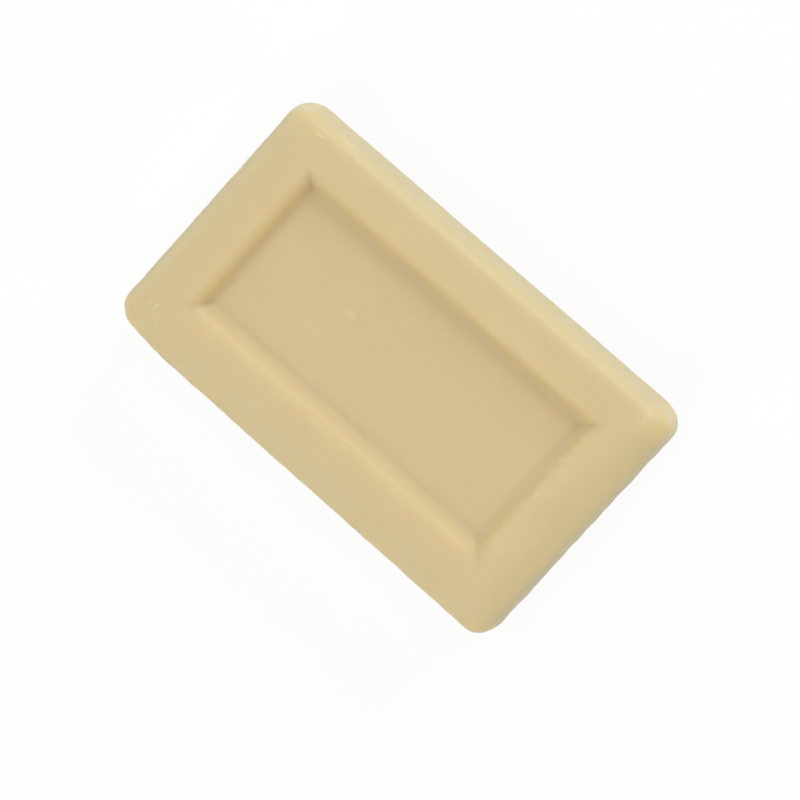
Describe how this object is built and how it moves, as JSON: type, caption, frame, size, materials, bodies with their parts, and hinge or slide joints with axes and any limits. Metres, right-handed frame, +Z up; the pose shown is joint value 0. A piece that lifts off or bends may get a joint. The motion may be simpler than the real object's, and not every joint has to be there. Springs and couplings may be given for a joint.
{
  "type": "bar of soap",
  "caption": "Oblong stamped bar of soap with rounded corners, drafted sides, a crowned border and a sunk plain panel.",
  "frame": {"origin": "middle of the flat base that the bar rests on", "axes": "+X along the bar's length, +Y across it, +Z up, out of the face with the sunk panel"},
  "size_m": [0.09, 0.054, 0.0225],
  "materials": {
    "soap": "satin"
  },
  "bodies": {
    "root": {"soap_bar": "soap"}
  },
  "joints": []
}
